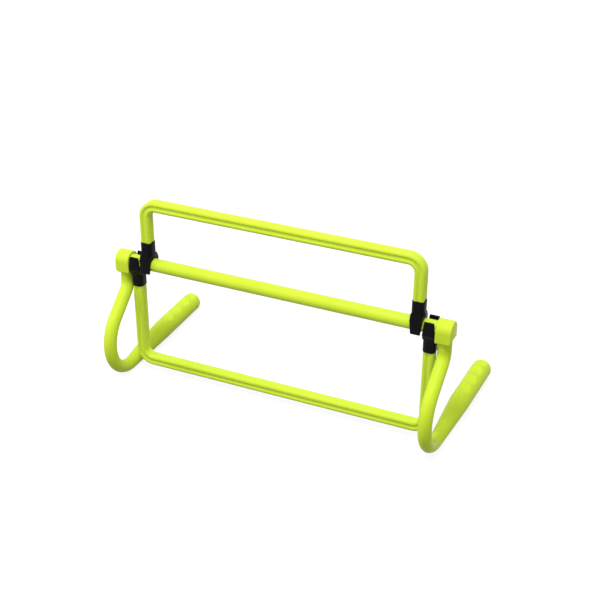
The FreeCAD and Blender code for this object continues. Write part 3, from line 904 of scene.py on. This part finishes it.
class HURDLE_OT_snap_clips(bpy.types.Operator):
    """Build the four snap clips: a sleeve for a frame's end, and two jaws round the crossbar"""
    bl_idname = "hurdle.snap_clips"
    bl_label = "Snap Clips"

    def jaws(self, clip, bearing):
        """The two jaws, drawn across the crossbar and narrowed towards their tips."""
        throat = math.acos(clip.throat_width / 2 / bearing)
        half_sleeve = clip.sleeve_depth / 2
        half_jaw = clip.jaw_depth / 2
        lip_round = clip.jaw_round / 2
        shoulder_round = 2 * clip.jaw_round
        tuck = clip.edge_round
        bore = arc((0, 0), bearing, -throat, math.pi + throat, ROUND_SIDES // 2)
        outside = [(clip.mouth_width / 2, -clip.jaw_reach, lip_round),
                   (half_jaw, -clip.jaw_reach, clip.jaw_round),
                   (half_jaw, clip.jaw_shoulder, shoulder_round),
                   (half_sleeve - tuck, clip.shoulder_reach - tuck, 0)]
        mirrored = [(-depth, height, radius) for depth, height, radius in outside]
        outline = rounded([(*point, 0) for point in bore] + mirrored + outside[::-1])
        half = clip.width / 2 - tuck / 2
        edges = [(half - setback, inset) for inset, setback in edge_rounding(clip.edge_round)]
        rings = []
        for across, inset in [(-across, inset) for across, inset in edges] + edges[::-1]:
            ring = []
            for depth, height in shrunk(outline, inset):
                share = min(max((bearing - height) / (bearing + clip.jaw_reach), 0), 1)
                ring.append((across * (1 - share * clip.jaw_taper / half), depth, height))
            rings.append(ring)
        return loft(rings)

    def sleeve(self, clip, flip, bearing):
        """The sleeve round a frame's end, open at its rim."""
        outside = rectangle(clip.width, clip.sleeve_depth, clip.sleeve_round)
        play = clip.bearing_gap
        socket = rectangle(flip.width + 2 * play, flip.depth + 2 * play, flip.edge_round + play)
        rim = clip.rim_reach
        lead = clip.rim_round / 2
        levels = [((bearing + clip.shoulder_reach) / 2, outside)]
        levels += [(rim - setback, shrunk(outside, inset))
                   for inset, setback in reversed(edge_rounding(clip.rim_round))]
        levels += [(rim, shrunk(socket, -lead)), (rim - lead, socket), (rim - clip.socket_depth, socket)]
        return loft([[(*point, height) for point in outline] for height, outline in levels])

    def execute(self, context):
        settings = context.scene.hurdle
        clip = settings.clip
        fastener = settings.fastener
        bearing = settings.bar.diameter / 2 + clip.bearing_gap
        pin = fastener.pin_reach
        black = hurdle_material("black_moulding")
        for which in ("inner", "outer"):
            for name, side in SIDES:
                hole = rod((0, -clip.jaw_depth, pin), (0, clip.jaw_depth, pin), fastener.pin_diameter / 2)
                mesh = combined("UNION", self.jaws(clip, bearing), self.sleeve(clip, settings.flip, bearing))
                mesh = combined("DIFFERENCE", mesh, hole)
                along_bar = Matrix.Translation((clip_x(settings, which, side), 0, 0))
                mesh.transform(flip_place(which) @ along_bar)
                finished(f"{which}_{name}_snap_clip", mesh, black, f"{which}_flip", "clip_plastic",
                         f"{which}_{name}_clip")
        return {"FINISHED"}


class HURDLE_OT_fasteners(bpy.types.Operator):
    """Set the screws of the caps and legs and the pins of the clips"""
    bl_idname = "hurdle.fasteners"
    bl_label = "Fasteners"

    def screw(self, fastener, reach):
        """A pan-head screw with a cross recess, point down along Z, its head's underside at zero."""
        shank = fastener.screw_diameter / 2
        head = fastener.head_diameter / 2
        top = fastener.head_height
        crown = fastener.head_crown
        dome = arc((head - crown, top - crown), crown, 0, CROWN_TURN, CORNER_STEPS)
        profile = [(-reach, fastener.point / 2), (-reach + shank, shank), (0, shank), (0, head)]
        body = turned(profile + [(height, radius) for radius, height in dome])
        long, wide = fastener.cross_length, fastener.cross_width
        levels = (top - fastener.cross_depth, 2 * top)
        arms = []
        for arm in (rectangle(long, wide, 0), rectangle(wide, long, 0)):
            arms.append(loft([[(*point, height) for point in arm] for height in levels]))
        return combined("DIFFERENCE", body, *arms)

    def pin(self, clip, fastener):
        """A straight pin along Z with chamfered ends, its middle at zero."""
        half = clip.sleeve_depth / 2 - fastener.pin_recess
        radius = fastener.pin_diameter / 2
        edge = fastener.pin_recess
        return turned(((-half, radius - edge), (-half + edge, radius),
                       (half - edge, radius), (half, radius - edge)))

    def spread(self, name, mesh, places, material):
        """Copies of one mesh, set on places that each hold (point, turn), by a node tree."""
        points = bpy.data.meshes.new(name)
        points.from_pydata([place for place, turn in places], [], [])
        turns = points.attributes.new("turn", "FLOAT_VECTOR", "POINT")
        for item, (place, turn) in zip(turns.data, places):
            item.vector = turn
        pattern = linked(f"{name}_pattern", mesh)
        tree = Tree(f"{name}_spread")
        shape = tree.node("GeometryNodeObjectInfo", {
            "Object": tree.size("Fastener", pattern, "NodeSocketObject"),
        })
        copies = tree.node("GeometryNodeInstanceOnPoints", {
            "Points": tree.entry.outputs["Geometry"], "Instance": shape.outputs["Geometry"],
            "Rotation": tree.read("turn", "FLOAT_VECTOR"),
        })
        result = tree.applied(linked(name, points), copies.outputs["Instances"], material)
        bpy.data.objects.remove(pattern)
        return result

    def execute(self, context):
        settings = context.scene.hurdle
        cap = settings.cap
        leg = settings.leg
        fastener = settings.fastener
        steel = hurdle_material("plated_steel")
        quarter = math.pi / 2
        seat = cap.depth / 2 - fastener.head_recess
        flat = Vector((0, leg.diameter / 2 - fastener.leg_flat_depth, -fastener.leg_screw_drop))
        bar_places = [(BAR_AXIS + Vector((leg_x(settings, side), seat, 0)), (-quarter, 0, 0))
                      for name, side in SIDES]
        leg_places = [(toe_place(settings, side) @ flat, (-quarter, 0, -side * leg.toe_out))
                      for name, side in SIDES]
        for kind, reach, places in (("bar_screws", fastener.bar_screw_length, bar_places),
                                    ("leg_screws", fastener.leg_screw_length, leg_places)):
            mesh = self.spread(f"{kind}_set", self.screw(fastener, reach), places, steel)
            finished(f"{kind}_set", mesh, steel, "base", "steel", kind)
        black = hurdle_material("black_moulding")
        for which in ("inner", "outer"):
            place = flip_place(which)
            turn = (place.to_euler().x - quarter, 0, 0)
            places = [(place @ Vector((clip_x(settings, which, side), 0, fastener.pin_reach)), turn)
                      for name, side in SIDES]
            mesh = self.spread(f"{which}_pins", self.pin(settings.clip, fastener), places, black)
            finished(f"{which}_pins", mesh, black, f"{which}_flip", "clip_plastic", f"{which}_clip_pins")
        return {"FINISHED"}


class HURDLE_OT_end_plugs(bpy.types.Operator):
    """Give the plugs inside the crossbar their dark plastic"""
    bl_idname = "hurdle.end_plugs"
    bl_label = "End Plugs"

    def execute(self, context):
        for name, side in SIDES:
            for slot in frame["nodes"][f"{name}_end_plug"].material_slots:
                slot.material = hurdle_material("dark_plug")
        return {"FINISHED"}


class HURDLE_OT_stage(bpy.types.Operator):
    """Set up the white floor, the soft light and the camera"""
    bl_idname = "hurdle.stage"
    bl_label = "Stage"

    def seen(self, tree):
        """One for rays that show the background: straight from the camera, mirrored or through glass."""
        path = tree.nodes.new("ShaderNodeLightPath")
        seen = Number(tree, path.outputs["Is Camera Ray"])
        for ray in ("Is Glossy Ray", "Is Transmission Ray"):
            seen = seen.at_least(Number(tree, path.outputs[ray]))
        return seen

    def floor(self, stage):
        """A pale floor that looks white where nothing shades it."""
        half = stage.floor_width / 2
        corners = [(-half, -half, 0), (half, -half, 0), (half, half, 0), (-half, half, 0)]
        mesh = bpy.data.meshes.new("floor")
        mesh.from_pydata(corners, [], [range(len(corners))])
        material, tree, shader = material_nodes("pale_floor")
        shader.inputs["Base Color"].default_value = (stage.floor_tone,) * 3 + (1,)
        shader.inputs["Roughness"].default_value = 1
        shader.inputs["Specular IOR Level"].default_value = 0
        shader.inputs["Emission Color"].default_value = WHITE
        lift = self.seen(tree) * stage.floor_lift
        tree.links.new(lift.socket, shader.inputs["Emission Strength"])
        mesh.materials.append(material)
        floor = linked("floor", mesh)

    def room(self, scene, stage):
        """Even light from all round, with a white background behind it."""
        world = bpy.data.worlds.new("white_room")
        world.use_nodes = True
        tree = world.node_tree
        background = tree.nodes["Background"]
        background.inputs["Color"].default_value = WHITE
        strength = self.seen(tree) * (1 - stage.room_light) + stage.room_light
        tree.links.new(strength.socket, background.inputs["Strength"])
        scene.world = world

    def lamp(self, name, aim, offset, power, size):
        """A square soft box that faces the aim from an offset."""
        data = bpy.data.lights.new(name, "AREA")
        data.energy = power
        data.size = size
        lamp = linked(name, data)
        lamp.location = aim + Vector(offset)
        lamp.rotation_euler = (-Vector(offset)).to_track_quat("-Z", "Y").to_euler()

    def camera(self, scene, stage, aim):
        """The camera at the picture's viewing angle."""
        data = bpy.data.cameras.new("camera")
        data.lens = stage.lens
        data.shift_x = stage.shift_x
        data.shift_y = stage.shift_y
        camera = linked("camera", data)
        level = math.cos(stage.elevation)
        towards = Vector((math.sin(stage.azimuth) * level, -math.cos(stage.azimuth) * level,
                          math.sin(stage.elevation)))
        camera.location = aim + towards * stage.distance
        camera.rotation_euler = (-towards).to_track_quat("-Z", "Y").to_euler()
        scene.camera = camera

    def execute(self, context):
        scene = context.scene
        stage = scene.hurdle.stage
        aim = Vector((0, BAR_AXIS.y + stage.aim_back, stage.aim_height))
        self.floor(stage)
        self.room(scene, stage)
        self.lamp("overhead_box", aim, stage.key_place, stage.key_power, stage.key_size)
        self.lamp("side_box", aim, stage.fill_place, stage.fill_power, stage.fill_size)
        self.camera(scene, stage, aim)
        scene.view_settings.view_transform = "Standard"
        return {"FINISHED"}


class HURDLE_PT_sidebar(bpy.types.Panel):
    """The hurdle's sizes, colours and build steps"""
    bl_idname = "HURDLE_PT_sidebar"
    bl_label = "Training Hurdle"
    bl_space_type = "VIEW_3D"
    bl_region_type = "UI"
    bl_category = "Hurdle"

    def draw(self, context):
        settings = context.scene.hurdle
        for operator in BUILD_STEPS:
            self.layout.operator(operator.bl_idname)
        for group in settings.bl_rna.properties:
            if group.type != "POINTER" or group.identifier == "rna_type":
                continue
            box = self.layout.box()
            box.label(text=group.identifier.title())
            for item in group.fixed_type.properties:
                if item.identifier not in ("rna_type", "name"):
                    box.prop(getattr(settings, group.identifier), item.identifier)


BUILD_STEPS = (HURDLE_OT_crossbar, HURDLE_OT_corner_caps, HURDLE_OT_legs, HURDLE_OT_flip_frames,
               HURDLE_OT_snap_clips, HURDLE_OT_fasteners, HURDLE_OT_end_plugs, HURDLE_OT_stage)
CLASSES = (BarSizes, CapSizes, LegSizes, FlipSizes, ClipSizes, FastenerSizes, FinishColours, StageSizes,
           HurdleSettings, *BUILD_STEPS, HURDLE_PT_sidebar)


def register():
    """Makes the hurdle's settings, operators and panel known."""
    for item in CLASSES:
        bpy.utils.register_class(item)
    bpy.types.Scene.hurdle = PointerProperty(type=HurdleSettings)


def unregister():
    """Takes them away again."""
    del bpy.types.Scene.hurdle
    for item in reversed(CLASSES):
        bpy.utils.unregister_class(item)


def main():
    """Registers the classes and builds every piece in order."""
    register()
    for step in BUILD_STEPS:
        family, verb = step.bl_idname.split(".")
        getattr(getattr(bpy.ops, family), verb)()


if __name__ == "__main__":
    main()
